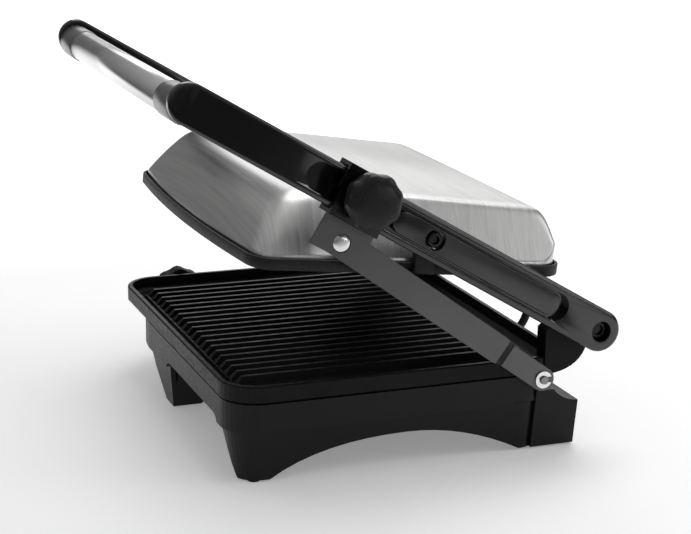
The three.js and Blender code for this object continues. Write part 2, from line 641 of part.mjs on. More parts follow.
function lidFrame() {
  const { z0, z1, wall } = LID_RIM;
  const ring = around(lidOutline, [
    [1, 0, z0], [1, 0, z1], [1, -wall, z1], [1, -wall, z0 + 3],
    [1, 0.3 - UPPER.inset, z0 + 3], [1, 0.3 - UPPER.inset, z0], [1, 0, z0],
  ]);
  const lug = new THREE.Shape();
  lug.absarc(0, 0, 6.6, 0, Math.PI);
  lug.lineTo(-6.6, z0 + 1);
  lug.lineTo(6.6, z0 + 1);
  const lugs = [plateXZ(lug, -139.4, -133.2), plateXZ(lug, 133.2, 139.4)];
  const leadBlock = box(LID.x1 - 1, LID.x1 + 5.5, DUCTS.lead.y - 6, DUCTS.lead.y + 6, z0, z1);
  return cut(join([ring, ...lugs, leadBlock]), [
    barY(3.8, 0, 0, -145, 145),
    barX(3.1, DUCTS.lead.y, (z0 + z1) / 2, LID.x1 + 1.5, LID.x1 + 10),
    ...LID_SCREW_SPOTS.map(([x, y]) => barZ(2.1, x, y, z0 - 1, z0 + 5)),
  ]);
}

const LID_SCREW_SPOTS = [[-60, -125.4], [-60, 125.4], [50, -125.4], [50, 125.4]];

function upperGrillPlate() {
  const flange = slab(lidOutline, -5.4, LID_RIM.z0 + 3 + GAP, UPPER.top + 0.6);
  const pan = slab(lidOutline, -UPPER.inset, UPPER.under, UPPER.top);
  const whole = join([flange, pan, ...ridges(UPPER.x0, UPPER.x1, UPPER.under + 0.5, UPPER.ridge)]);
  return cut(whole, LID_SCREW_SPOTS.map(([x, y]) => barZ(2.1, x, y, -26, -15)));
}

const lidScrew = ([x, y]) => join([
  barZ(3.2, x, y, UPPER.top + 0.9, UPPER.top + 3), barZ(1.8, x, y, LID_RIM.z0, UPPER.top + 1),
]);

const pivotBolt = hexBolt(0, 0, 4.8, 3.5, [149.6, CHANNEL.floor + GAP], 134.5);
add(lid, 'lid_cover', lidCover(), brushedSteel);
add(lid, 'lid_frame', lidFrame(), castBlack);
add(lid, 'upper_grill_plate', upperGrillPlate(), nonStick);
add(lid, 'upper_heating_element', elementRod(-78, 62, -15.8, 3.2), plainSteel);
add(lid, 'upper_reflector', tray(-82, 60, 88, -10, 4), brushedSteel);
add(lid, 'lid_pivot_bolt_right', pivotBolt, plainSteel);
add(lid, 'lid_pivot_bolt_left', mirrored(pivotBolt), plainSteel);
LID_SCREW_SPOTS.forEach((spot, i) => add(lid, `lid_screw_${i + 1}`, lidScrew(spot), plainSteel));

// ---- lead from the base to the lid -------------------------------------------------------
// Held at both ends, it loops round behind the hinge line.
function lidLead() {
  const end = new THREE.Vector3(LID.x1 + 5.5 + GAP, 0, (LID_RIM.z0 + LID_RIM.z1) / 2);
  const axis = new THREE.Vector3(0, 1, 0);
  end.applyAxisAngle(axis, LID_TILT);
  const hub = new THREE.Vector3(-LID_PIVOT, 0, 0).applyAxisAngle(axis, ARM_TILT);
  end.add(hub).add(new THREE.Vector3(HINGE.x, DUCTS.lead.y, HINGE.z));
  const { y, z } = DUCTS.lead;
  return tube([
    [228.3, y, z], [236, y, z + 0.5], [245, y, z + 9], [250, y, z + 24], [251, y, z + 40],
    [249, y, z + 55], [243, y, end.z - 6], [236, y, end.z - 1.4], [end.x, y, end.z],
  ], 2.8, 26, 10);
}

add(part, 'lid_lead', lidLead(), rubber);

// ---- clamp on the right arm ---------------------------------------------------------------
// In the clamp's frame X = 0 is the middle of its grip on the arm.
const knobX = CLAMP_AT - KNOB.along;
const rivetX = CLAMP_AT - RIVET.along;

function clampBody() {
  const skin = 2.6;
  const edge = ARM_HALF + GAP;
  const face = ARM_OUTER + GAP;
  const back = ARM_INNER - GAP;
  const lip = back - 2;
  return cut(join([
    box(-17.5, 17.5, -face - skin, -face, -edge - skin, 8),
    box(-17.5, 17.5, -face - skin, -lip, -edge - skin, -edge),
    box(-17.5, 17.5, -back, -lip, -edge - skin, -edge + 3),
    box(-20, -4, -face - skin, -face, 0, edge + skin),
    box(-20, -4, -face - skin, -lip, edge, edge + skin),
    box(-20, -4, -back, -lip, edge - 3, edge + skin),
    barY(8.5, knobX, KNOB.up, -KNOB.from + GAP, -face - 1),
  ]), [barY(3.3, knobX, KNOB.up, -165, -150, 20)]);
}

function clampTab() {
  const edge = ARM_HALF + 2 * GAP + 2.6;
  return box(-14.7, 19.8, -145.5, -143.5, -37, -edge).subtract(
    barY(RIVET.radius + 0.8, rivetX, -RIVET.below, -150, -140));
}

const stayRivet = join([
  barY(RIVET.radius, rivetX, -RIVET.below, -144.9, -STRIP_OUTER - GAP),
  barY(3.5, rivetX, -RIVET.below, -STRIP_OUTER - 1, -140, 20),
  barY(8.4, rivetX, -RIVET.below, -STRIP_OUTER + STRIP.thick + GAP, -139.9),
]);

function clampKnob() {
  const grip = plateXZ(lobedShape(KNOB.radius, 8, 1.7, knobX, KNOB.up), -KNOB.to, -KNOB.from, 2);
  return grip.subtract(barY(3.3, knobX, KNOB.up, -KNOB.from - 9, -KNOB.from + 1, 20));
}

add(clamp, 'clamp_body', clampBody(), glossBlack);
add(clamp, 'clamp_tab', clampTab(), plainSteel);
add(clamp, 'stay_rivet', stayRivet, polishedSteel);
add(clamp, 'clamp_pad', barY(6.8, knobX, KNOB.up - 1, -149.3, -CHANNEL.floor - GAP), rubber);
add(clamp, 'clamp_knob', clampKnob(), glossBlack);
add(clamp, 'clamp_stud', barY(3, knobX, KNOB.up, -KNOB.from - 8, -149.6, 20), plainSteel);

// ---- stay -----------------------------------------------------------------------------------
// In the stay's frame the lower pin is at X = 0 and the rivet towards -X.
function stayStrip() {
  const { thick, half, endHalf, jogFrom, jogTo } = STRIP;
  const top = STAY_LENGTH + half + 1;
  const side = polygon([
    [20, -STRIP_END_OUTER], [-jogFrom, -STRIP_END_OUTER], [-jogTo, -STRIP_OUTER],
    [-top, -STRIP_OUTER], [-top, thick - STRIP_OUTER], [-jogTo, thick - STRIP_OUTER],
    [-jogFrom, thick - STRIP_END_OUTER], [20, thick - STRIP_END_OUTER],
  ]);
  const bent = solid(new THREE.ExtrudeGeometry(side, { depth: 24, bevelEnabled: false })
    .translate(0, 0, -12));
  const face = new THREE.Shape();
  face.absarc(0, 0, endHalf, -Math.PI / 2, Math.PI / 2);
  face.lineTo(-jogFrom, endHalf);
  face.lineTo(-jogTo, half);
  face.absarc(-STAY_LENGTH, 0, half, Math.PI / 2, 1.5 * Math.PI);
  face.lineTo(-jogTo, -half);
  face.lineTo(-jogFrom, -endHalf);
  return cut(bent.intersect(plateXZ(face, -150, -130, 0, 10)), [
    barY(STAY_PIN.radius + GAP, 0, 0, -150, -130, 20),
    barY(6.9, -STAY_LENGTH, 0, -150, -130, 20),
  ]);
}

function eClip() {
  const opening = box(1.5, 7, -141, -139, -1.9, 1.9);
  return ringY(5.6, STAY_PIN.radius + GAP, 0, 0, -140.4, -139.5, 28).subtract(opening);
}

const pinSpot = frameAt(part, STAY_PIN.x, STAY_PIN.z, 0);
add(stay, 'stay_strip', stayStrip(), plainSteel);
add(pinSpot, 'stay_pin', barY(STAY_PIN.radius, 0, 0, -142, -132.4, 20), plainSteel);
add(pinSpot, 'stay_e_clip', eClip(), polishedSteel);
add(pinSpot, 'stay_washer',
  ringY(6, STAY_PIN.radius + GAP, 0, 0, -STRIP_END_OUTER + STRIP.thick + GAP, -135.9), plainSteel);

// ---- the part's own frame: middle of the footprint, on the worktop --------------------------
part.updateMatrixWorld(true);
const bounds = new THREE.Box3().setFromObject(part, true);
const centre = bounds.getCenter(new THREE.Vector3());
part.position.set(-centre.x, -centre.y, -bounds.min.z);
part.updateMatrixWorld(true);

export default part;
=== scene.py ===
"""The looks of an open panini press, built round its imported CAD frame.

Metres, with +Z up, +X to the back and -Y on the user's right.
"""
import json
import math

import bmesh
import bpy
from mathutils import Matrix, Quaternion, Vector

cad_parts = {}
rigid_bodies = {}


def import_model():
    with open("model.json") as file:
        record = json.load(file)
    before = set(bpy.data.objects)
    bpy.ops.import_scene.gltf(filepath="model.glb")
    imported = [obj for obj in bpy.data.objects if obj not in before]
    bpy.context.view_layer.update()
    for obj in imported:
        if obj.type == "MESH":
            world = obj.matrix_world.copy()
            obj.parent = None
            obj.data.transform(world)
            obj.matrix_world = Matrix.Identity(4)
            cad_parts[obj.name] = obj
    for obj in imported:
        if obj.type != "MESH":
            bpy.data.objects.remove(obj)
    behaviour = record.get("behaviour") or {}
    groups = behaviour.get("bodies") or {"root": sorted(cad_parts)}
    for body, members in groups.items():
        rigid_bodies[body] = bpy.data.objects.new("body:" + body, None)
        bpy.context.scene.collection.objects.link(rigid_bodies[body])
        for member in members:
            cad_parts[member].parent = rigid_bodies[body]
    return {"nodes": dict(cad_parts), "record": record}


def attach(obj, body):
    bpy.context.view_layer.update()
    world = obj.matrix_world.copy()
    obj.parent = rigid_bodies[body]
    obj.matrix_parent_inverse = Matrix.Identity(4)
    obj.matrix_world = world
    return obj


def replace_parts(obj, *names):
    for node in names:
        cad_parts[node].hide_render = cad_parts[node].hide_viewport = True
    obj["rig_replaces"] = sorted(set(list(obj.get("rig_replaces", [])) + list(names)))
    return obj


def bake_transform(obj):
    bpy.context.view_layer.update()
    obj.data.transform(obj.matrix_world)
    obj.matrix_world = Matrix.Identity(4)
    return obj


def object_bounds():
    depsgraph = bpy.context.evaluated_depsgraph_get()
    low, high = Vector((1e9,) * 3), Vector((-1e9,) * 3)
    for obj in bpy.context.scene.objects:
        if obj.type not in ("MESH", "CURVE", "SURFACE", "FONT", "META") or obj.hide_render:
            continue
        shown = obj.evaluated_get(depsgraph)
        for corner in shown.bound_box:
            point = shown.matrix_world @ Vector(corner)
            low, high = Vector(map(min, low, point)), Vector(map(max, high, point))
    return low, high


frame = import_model()
cad_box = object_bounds()
MM = 0.001


# ---- node helper ---------------------------------------------------------------------------
class Nodes:
    """A small helper round a material's node tree."""

    def __init__(self, name):
        self.material = bpy.data.materials.new(name)
        self.material.use_nodes = True
        self.tree = self.material.node_tree
        self.shader = self.tree.nodes["Principled BSDF"]

    def set(self, **values):
        for key, value in values.items():
            self.shader.inputs[key.replace("_", " ")].default_value = value

    def node(self, kind, inputs=None, **settings):
        made = self.tree.nodes.new(kind)
        for key, value in settings.items():
            setattr(made, key, value)
        for key, value in (inputs or {}).items():
            if isinstance(value, bpy.types.NodeSocket):
                self.tree.links.new(value, made.inputs[key])
            else:
                made.inputs[key].default_value = value
        return made

    def link(self, output, key):
        self.tree.links.new(output, self.shader.inputs[key])

    def place(self, scale=(1, 1, 1), turn=(0, 0, 0)):
        """Object coordinates, stretched and turned."""
        coordinates = self.node("ShaderNodeTexCoord").outputs["Object"]
        mapping = self.node("ShaderNodeMapping", {"Vector": coordinates})
        mapping.inputs["Scale"].default_value = scale
        mapping.inputs["Rotation"].default_value = turn
        return mapping.outputs["Vector"]

    def noise(self, scale, detail, roughness, vector=None):
        return self.node("ShaderNodeTexNoise", {
            "Vector": vector or self.place(), "Scale": scale, "Detail": detail,
            "Roughness": roughness,
        }).outputs["Fac"]

    def remap(self, value, low, high, start, end):
        """Gives low where the value is start and high where it is end, and stops there."""
        return self.node("ShaderNodeMapRange", {
            "Value": value, "From Min": start, "From Max": end, "To Min": low, "To Max": high,
        }).outputs["Result"]

    def blend_colours(self, fac, first, second):
        mix = self.node("ShaderNodeMix", data_type="RGBA")
        self.tree.links.new(fac, mix.inputs["Factor"])
        # a mix node has one pair of inputs for each data type: 6 and 7 are its colours
        for socket, colour in ((mix.inputs[6], first), (mix.inputs[7], second)):
            if isinstance(colour, bpy.types.NodeSocket):
                self.tree.links.new(colour, socket)
            else:
                socket.default_value = (*colour, 1)
        return mix.outputs[2]

    def combine(self, operation, first, second):
        return self.node("ShaderNodeMath", {0: first, 1: second}, operation=operation).outputs[0]

    def bump(self, height, distance, strength, under=None):
        inputs = {"Height": height, "Distance": distance, "Strength": strength}
        if under is not None:
            inputs["Normal"] = under
        return self.node("ShaderNodeBump", inputs).outputs["Normal"]


# ---- camera, light and floor ---------------------------------------------------------------
CAMERA_AT = Vector((-0.4143, -1.1196, 0.4174))
CAMERA_AZIMUTH = math.radians(20.85)
CAMERA_ELEVATION = math.radians(14.86)
CAMERA_ROLL = math.radians(-0.7)
CAMERA_LENS = 95.8
WORLD_STRENGTH = (0.14, 0.42)           # at the horizon and overhead
FLOOR_GLOW = (0.25, 0.8)                # the floor's painted glow near the press and far from it
GLOW_REACH = (0.42, 1.3)                # the distances where the glow starts and stops growing
PAINTED_LIT_FROM_Y = (-0.85, -0.4)              # the floor's painted light and shade fades from dark to lit over these places
PAINTED_LIT_FROM_X = (-1.1, -0.65)


def make_camera():
    """A camera in front of the press and to its right, looking slightly down."""
    data = bpy.data.cameras.new("camera")
    data.lens = CAMERA_LENS
    data.sensor_width = 36
    data.clip_start = 0.05
    data.clip_end = 50
    camera = bpy.data.objects.new("camera", data)
    bpy.context.scene.collection.objects.link(camera)
    level = math.cos(CAMERA_ELEVATION)
    forward = Vector((
        math.sin(CAMERA_AZIMUTH) * level,
        math.cos(CAMERA_AZIMUTH) * level,
        -math.sin(CAMERA_ELEVATION),
    ))
    camera.rotation_mode = "QUATERNION"
    turn = forward.to_track_quat("-Z", "Y")
    camera.rotation_quaternion = turn @ Quaternion((0, 0, 1), -CAMERA_ROLL)
    camera.location = CAMERA_AT
    bpy.context.scene.camera = camera


def area_light(name, at, target, size, power):
    """A soft rectangular light that faces its target."""
    data = bpy.data.lights.new(name, "AREA")
    data.shape = "RECTANGLE"
    data.size, data.size_y = size
    data.energy = power
    lamp = bpy.data.objects.new(name, data)
    bpy.context.scene.collection.objects.link(lamp)
    lamp.location = at
    lamp.rotation_mode = "QUATERNION"
    lamp.rotation_quaternion = (Vector(target) - Vector(at)).to_track_quat("-Z", "Y")


def make_lights():
    centre = (0, 0, 0.12)
    area_light("overhead", (0.3, 0.25, 1.5), centre, (0.9, 1.1), 9)
    area_light("back_panel", (1.1, 2.1, 1.35), (0.05, 0, 0.17), (2.2, 1.7), 16)
    area_light("side_box", (1.45, -0.75, 0.95), (0.1, -0.1, 0.15), (0.9, 0.9), 4.4)
    area_light("left_strip", (-1.3, -0.9, 0.85), (-0.1, 0, 0.2), (0.16, 0.9), 0.3)
    area_light("low_strip", (0.75, -1.25, 0.16), (0.1, -0.1, 0.15), (0.5, 0.1), 0.9)


def make_world():
    """A dim studio: dark towards the floor, paler overhead."""
    world = bpy.data.worlds.new("studio")
    world.use_nodes = True
    tree = world.node_tree
    background = tree.nodes["Background"]
    background.inputs["Color"].default_value = (1, 1, 1, 1)
    direction = tree.nodes.new("ShaderNodeTexCoord").outputs["Generated"]
    split = tree.nodes.new("ShaderNodeSeparateXYZ")
    fade = tree.nodes.new("ShaderNodeMapRange")
    fade.inputs["From Min"].default_value = 0.0
    fade.inputs["From Max"].default_value = 0.9
    fade.inputs["To Min"].default_value, fade.inputs["To Max"].default_value = WORLD_STRENGTH
    tree.links.new(direction, split.inputs[0])
    tree.links.new(split.outputs["Z"], fade.inputs["Value"])
    tree.links.new(fade.outputs["Result"], background.inputs["Strength"])
    bpy.context.scene.world = world


def make_floor():
    """A white table with a painted glow that grows away from the press, and painted dark past its
    right and front.

    The painted dark parts lie outside the camera's view, where the gloss arms mirror them as painted
    shade.
    """
    mesh = bpy.data.meshes.new("floor")
    bm = bmesh.new()
    bmesh.ops.create_grid(bm, x_segments=1, y_segments=1, size=12)
    bm.to_mesh(mesh)
    bm.free()
    floor = bpy.data.objects.new("floor", mesh)
    bpy.context.scene.collection.objects.link(floor)
    floor.location.z = cad_box[0].z - 0.0002
    n = Nodes("floor")
    far = n.node("ShaderNodeVectorMath", {0: n.place()}, operation="LENGTH").outputs["Value"]
    spot = n.node("ShaderNodeSeparateXYZ", {0: n.place()}).outputs
    # painted light and shade: the floor is darker and glows less towards its right and front
    painted_lit = n.combine("MULTIPLY", n.remap(spot["Y"], 0, 1, *PAINTED_LIT_FROM_Y),
                    n.remap(spot["X"], 0, 1, *PAINTED_LIT_FROM_X))
    # the painted glow: an emission that is weakest near the press
    glow = n.combine("MULTIPLY", n.remap(far, *FLOOR_GLOW, *GLOW_REACH), painted_lit)
    n.set(Roughness=0.7, Emission_Color=(1, 1, 1, 1), Specular_IOR_Level=0.1)
    n.link(n.blend_colours(painted_lit, (0.16, 0.16, 0.16), (0.9, 0.9, 0.9)), "Base Color")
    n.link(glow, "Emission Strength")
    mesh.materials.append(n.material)


make_camera()
make_lights()
make_world()
make_floor()
bpy.context.scene.view_settings.view_transform = "Standard"


# ---- materials -----------------------------------------------------------------------------
def brushed(name, colour, dark, roughness):
    """Steel with fine brush lines that run nearly along Y."""
    n = Nodes(name)
    fine = n.noise(1.0, 2, 0.6, n.place((900, 9, 40), (0, 0, math.radians(12))))
    broad = n.noise(9.0, 3, 0.5)
    n.link(n.blend_colours(n.remap(fine, 0, 1, 0.3, 0.7), dark, colour), "Base Color")
    worn = n.combine("ADD", fine, broad)
    n.link(n.remap(worn, roughness - 0.06, roughness + 0.1, 0.6, 1.4), "Roughness")
    n.link(n.bump(fine, 0.00002, 0.5), "Normal")
    n.set(Metallic=1.0, Anisotropic=0.15)
    return n.material


def polished(name, colour, roughness):
    """Bright steel with faint smears and hairlines."""
    n = Nodes(name)
    smear = n.noise(35.0, 3, 0.5)
    hairline = n.noise(1.0, 2, 0.6, n.place((700, 40, 700)))
    n.link(n.blend_colours(smear, colour, tuple(0.93 * c for c in colour)), "Base Color")
    n.link(n.remap(hairline, roughness - 0.02, roughness + 0.03, 0.3, 0.7), "Roughness")
    n.set(Metallic=1.0)
    return n.material


def satin_steel(name, colour, roughness):
    """Plain steel with a fine grain and a slow change of tone."""
    n = Nodes(name)
    grain = n.noise(1.0, 3, 0.6, n.place((60, 900, 900)))
    cloud = n.noise(14.0, 4, 0.55)
    light = tuple(1.12 * c for c in colour)
    n.link(n.blend_colours(n.remap(cloud, 0, 1, 0.3, 0.7), colour, light), "Base Color")
    n.link(n.remap(grain, roughness - 0.08, roughness + 0.08, 0.3, 0.7), "Roughness")
    n.link(n.bump(grain, 0.00002, 0.3), "Normal")
    n.set(Metallic=1.0)
    return n.material


def gloss_paint(name, colour):
    """Black paint with a clear gloss, the faintest orange peel and dust in the gloss."""
    n = Nodes(name)
    peel = n.noise(260.0, 2, 0.5)
    dust = n.noise(900.0, 2, 0.7)
    cloud = n.noise(11.0, 4, 0.6)
    lighter = tuple(1.6 * c + 0.001 for c in colour)
    n.link(n.blend_colours(n.remap(cloud, 0, 1, 0.35, 0.75), colour, lighter), "Base Color")
    n.link(n.remap(dust, 0.09, 0.17, 0.35, 0.75), "Roughness")
    n.link(n.bump(peel, 0.000012, 0.2), "Normal")
    n.set(Specular_IOR_Level=0.8)
    return n.material


def moulded(name, colour, roughness, grain=420.0, depth=0.00005):
    """Satin moulded plastic with a fine spark-eroded texture."""
    n = Nodes(name)
    fine = n.noise(grain, 3, 0.65)
    cloud = n.noise(8.0, 5, 0.6)
    lighter = tuple(1.5 * c + 0.001 for c in colour)
    n.link(n.blend_colours(n.remap(cloud, 0, 1, 0.35, 0.8), colour, lighter), "Base Color")
    n.link(n.remap(fine, roughness - 0.06, roughness + 0.1, 0.3, 0.7), "Roughness")
    n.link(n.bump(fine, depth, 0.5), "Normal")
    n.set(Specular_IOR_Level=0.2)
    return n.material


def cast_coating(name, colour, roughness):
    """Cast metal under a dark textured coating: pebbled, with lighter tips."""
    n = Nodes(name)
    pebble = n.node("ShaderNodeTexVoronoi", {"Vector": n.place(), "Scale": 620.0})
    sand = n.noise(900.0, 3, 0.7)
    cloud = n.noise(16.0, 4, 0.6)
    lighter = tuple(2.1 * c + 0.006 for c in colour)
    tips = n.combine("MULTIPLY", sand, cloud)
    n.link(n.blend_colours(n.remap(tips, 0, 1, 0.15, 0.45), colour, lighter), "Base Color")
    n.link(n.remap(sand, roughness - 0.1, roughness + 0.12, 0.3, 0.7), "Roughness")
    coarse = n.bump(pebble.outputs["Distance"], 0.00035, 0.6)
    n.link(n.bump(sand, 0.0001, 0.5, coarse), "Normal")
    n.set(Specular_IOR_Level=0.25)
    return n.material


def non_stick(name, colour, roughness):
    """Non-stick coating: near black, with fine pale flecks and a soft sheen."""
    n = Nodes(name)
    fleck = n.noise(1500.0, 2, 0.8)
    cloud = n.noise(20.0, 4, 0.6)
    peel = n.noise(300.0, 3, 0.6)
    lighter = tuple(1.8 * c + 0.002 for c in colour)
    base = n.blend_colours(n.remap(cloud, 0, 1, 0.35, 0.75), colour, lighter)
    pale = n.remap(fleck, 0, 1, 0.66, 0.74)
    n.link(n.blend_colours(pale, base, (0.03, 0.03, 0.031)), "Base Color")
    n.link(n.remap(peel, roughness - 0.07, roughness + 0.12, 0.3, 0.7), "Roughness")
    n.link(n.bump(peel, 0.00006, 0.5), "Normal")
    n.set(Specular_IOR_Level=0.13)
    return n.material


MATERIALS = {
    "housing": moulded("housing", (0.004, 0.004, 0.0045), 0.36),
    "cast_rim": cast_coating("cast_rim", (0.007, 0.007, 0.0075), 0.5),
    "grill_plate": non_stick("grill_plate", (0.003, 0.003, 0.0034), 0.36),
    "gloss_black": gloss_paint("gloss_black", (0.002, 0.002, 0.0024)),
    "brushed_steel": brushed("brushed_steel", (0.62, 0.62, 0.61), (0.5, 0.5, 0.5), 0.34),
    "polished_steel": polished("polished_steel", (0.8, 0.8, 0.8), 0.24),
    "plain_steel": satin_steel("plain_steel", (0.23, 0.23, 0.235), 0.42),
    "dark_steel": satin_steel("dark_steel", (0.03, 0.03, 0.032), 0.35),
    "stay_steel": satin_steel("stay_steel", (0.105, 0.105, 0.107), 0.36),
    "satin_collar": satin_steel("satin_collar", (0.22, 0.22, 0.22), 0.34),
    "knob_black": moulded("knob_black", (0.016, 0.016, 0.0165), 0.27, 500.0, 0.000002),
    "dial_black": moulded("dial_black", (0.0012, 0.0012, 0.0014), 0.6),
    # painted shade: a darker steel for the faces of the stay's step
    "stay_step_painted_shade": satin_steel("stay_step_painted_shade", (0.012, 0.012, 0.013), 0.4),
    "rubber": moulded("rubber", (0.012, 0.012, 0.012), 0.7, 700.0, 0.00008),
    "ceramic": moulded("ceramic", (0.62, 0.59, 0.52), 0.6, 500.0),
}


# ---- where things are ----------------------------------------------------------------------
# Drawing coordinates are millimetres with X = 0 at the front of the rim; the feet reach Z = -3.2.
DRAWING = Matrix.Translation((-0.107518, 0.0115, 0.0032))
HINGE_X, HINGE_Z = 239.0, 79.7
ARM_TILT = math.radians(30.6)
LID_TILT = math.radians(6.15)
LID_PIVOT = 133.0
CLAMP_AT = 187.5
RIVET_ALONG, RIVET_BELOW = 184.0, 28.4
STAY_PIN_X, STAY_PIN_Z = 206.0, 47.6
LEAD_Y = -30.0


def turned(x, z, angle, parent=DRAWING):
    """A place moved in X and Z and then turned about Y."""
    return parent @ Matrix.Translation((x * MM, 0, z * MM)) @ Matrix.Rotation(angle, 4, "Y")


HINGE = turned(HINGE_X, HINGE_Z, 0)
HANDLE = turned(HINGE_X, HINGE_Z, ARM_TILT)
LID = turned(-LID_PIVOT, 0, LID_TILT - ARM_TILT, HANDLE)
CLAMP = turned(-CLAMP_AT, 0, 0, HANDLE)


# ---- mesh helpers --------------------------------------------------------------------------
def mesh_from(name, points, faces):
    """A smooth mesh from points in millimetres and faces, with its normals made to agree."""
    bm = bmesh.new()
    spots = [bm.verts.new((x * MM, y * MM, z * MM)) for x, y, z in points]
    for face in faces:
        bm.faces.new([spots[i] for i in face])
    bmesh.ops.remove_doubles(bm, verts=bm.verts, dist=1e-7)
    bmesh.ops.recalc_face_normals(bm, faces=bm.faces)
    mesh = bpy.data.meshes.new(name)
    bm.to_mesh(mesh)
    bm.free()
    return mesh


def rings_mesh(name, rings, closed=False):
    """Joins rings of equal length. The ends are capped unless the rings close on themselves."""
    size = len(rings[0])
    points = [point for ring in rings for point in ring]
    faces = []
    for i in range(len(rings) if closed else len(rings) - 1):
        low, high = i * size, (i + 1) % len(rings) * size
        for j in range(size):
            k = (j + 1) % size
            faces.append((low + j, low + k, high + k, high + j))
    if not closed:
        faces.append(tuple(range(size)))
        faces.append(tuple(len(points) - size + j for j in range(size)))
    return mesh_from(name, points, faces)


def piece(name, mesh, place, body, material, node, split, bevel=0.0):
    """Puts a mesh in the scene in place of a CAD node, riding on a body."""
    made = bpy.data.objects.new(name, mesh)
    bpy.context.scene.collection.objects.link(made)
    made.matrix_world = place
    mesh.materials.append(MATERIALS[material])
    for face in mesh.polygons:
        face.use_smooth = True
    if bevel:
        edge = made.modifiers.new("edges", "BEVEL")
        edge.width = bevel * MM
        edge.segments = 3
        edge.limit_method = "ANGLE"
        edge.angle_limit = math.radians(35)
    sharp = made.modifiers.new("sharp", "EDGE_SPLIT")
    sharp.split_angle = math.radians(split)
    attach(made, body)
    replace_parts(made, node)
    return made


def turning(name, profile, x, z, sides=72):
    """A round piece about a line along Y. The profile is (radius, y) pairs from end to end."""
    turns = [2 * math.pi * i / sides for i in range(sides)]
    return rings_mesh(name, [
        [(x + radius * math.cos(a), y, z + radius * math.sin(a)) for a in turns]
        for radius, y in profile
    ])


def arc(cx, cz, radius, start, end, steps):
    """Points round an arc in X and Z, with both its ends. Angles are in degrees."""
    return [
        (cx + radius * math.cos(math.radians(start + (end - start) * i / steps)),
         cz + radius * math.sin(math.radians(start + (end - start) * i / steps)))
        for i in range(steps + 1)
    ]


def slot_line(x0, x1, half):
    """The outline of a slot with round ends along X."""
    return arc(x1 - half, 0, half, -90, 90, 24) + arc(x0 + half, 0, half, 90, 270, 24)


def grown(line, amount):
    """A closed line moved outwards by an amount (inwards if it is negative)."""
    area = sum(a[0] * b[1] - b[0] * a[1] for a, b in zip(line, line[1:] + line[:1]))
    turn = 1 if area > 0 else -1
    moved = []
    for before, here, after in zip(line[-1:] + line[:-1], line, line[1:] + line[:1]):
        first = Vector((here[0] - before[0], here[1] - before[1]))
        second = Vector((after[0] - here[0], after[1] - here[1]))
        if first.length < 1e-6 or second.length < 1e-6:
            first = second = first if first.length > second.length else second
        mean = (first.normalized() + second.normalized()).normalized()
        lean = max(mean.dot(second.normalized()), 0.5)
        moved.append((here[0] + turn * amount * mean.y / lean,
                      here[1] - turn * amount * mean.x / lean))
    return moved


def filled(outer, holes, y):
    """A flat face with holes at one y, as a bmesh."""
    bm = bmesh.new()
    edges = []
    for line in [outer, *holes]:
        spots = [bm.verts.new((x * MM, y * MM, z * MM)) for x, z in line]
        edges += [bm.edges.new((a, b)) for a, b in zip(spots, spots[1:] + spots[:1])]
    bmesh.ops.triangle_fill(bm, use_beauty=True, use_dissolve=False, edges=edges)
    return bm


def plate(name, outer, holes, y0, y1, round_edge, steps=4):
    """A plate in X and Z between two y planes, with rounded outer edges and plain holes."""
    profile = [(-round_edge, 0.0)]
    for i in range(1, steps + 1):
        a = math.pi / 2 * i / steps
        profile.append((-round_edge * (1 - math.sin(a)), round_edge * (1 - math.cos(a))))
    rings = [[(x, y0 + deep, z) for x, z in grown(outer, inset)] for inset, deep in profile]
    rings += [
        [(x, y1 - deep, z) for x, z in grown(outer, inset)] for inset, deep in reversed(profile)
    ]
    bm = bmesh.new()
    for face_y in (y0, y1):
        flat = filled(grown(outer, -round_edge), holes, face_y)
        temp = bpy.data.meshes.new("flat")
        flat.to_mesh(temp)
        flat.free()
        bm.from_mesh(temp)
        bpy.data.meshes.remove(temp)
    bands = [rings] + [
        [[(x, y0, z) for x, z in hole], [(x, y1, z) for x, z in hole]] for hole in holes
    ]
    for band in bands:
        spots = [[bm.verts.new((x * MM, y * MM, z * MM)) for x, y, z in ring] for ring in band]
        for low, high in zip(spots, spots[1:]):
            for j in range(len(low)):
                k = (j + 1) % len(low)
                bm.faces.new((low[j], low[k], high[k], high[j]))
    bmesh.ops.remove_doubles(bm, verts=bm.verts, dist=1e-7)
    bmesh.ops.recalc_face_normals(bm, faces=bm.faces)
    mesh = bpy.data.meshes.new(name)
    bm.to_mesh(mesh)
    bm.free()
    return mesh


def merged(name, *meshes):
    """One mesh from several."""
    bm = bmesh.new()
    for mesh in meshes:
        bm.from_mesh(mesh)
    whole = bpy.data.meshes.new(name)
    bm.to_mesh(whole)
    bm.free()
    return whole


def flipped(mesh):
    """The same mesh on the user's left."""
    other = mesh.copy()
    other.transform(Matrix.Scale(-1, 4, (0, 1, 0)))
    other.flip_normals()
    return other


# ---- lid -----------------------------------------------------------------------------------
# The lid's own frame has its pivot at 0, so the rim lies below it.
LID_FRONT, LID_BACK, LID_HALF, LID_CORNER, LID_BOW = -115.0, 101.0, 135.0, 20.0, 6.0
RIM_LOW, RIM_HIGH = -25.0, -17.7
RIM_LEDGE = -14.0                       # how far in the ledge under the plate's flange reaches
DOME_INSET = 3.4
DOME_CREASE = 104.0                     # half the distance between the dome's two creases
RIDGE_TOP, RIDGE_FALL = 34.0, 17.5      # the dome's height along the middle, and its drop to the back
CREASE_TOP, CREASE_FALL = 30.0, 13.5
FRONT_RUN = 53.0                        # past this, the front face no longer bounds the dome
NO_BOUND = 99.0                         # a height well above the lid
EAR_RADIUS, EAR_HOLE, EAR_INNER, EAR_OUTER = 6.6, 3.8, 133.2, 139.4
BLOCK_BACK, BLOCK_HALF = 106.5, 6.0     # the block on the rim that the lead enters


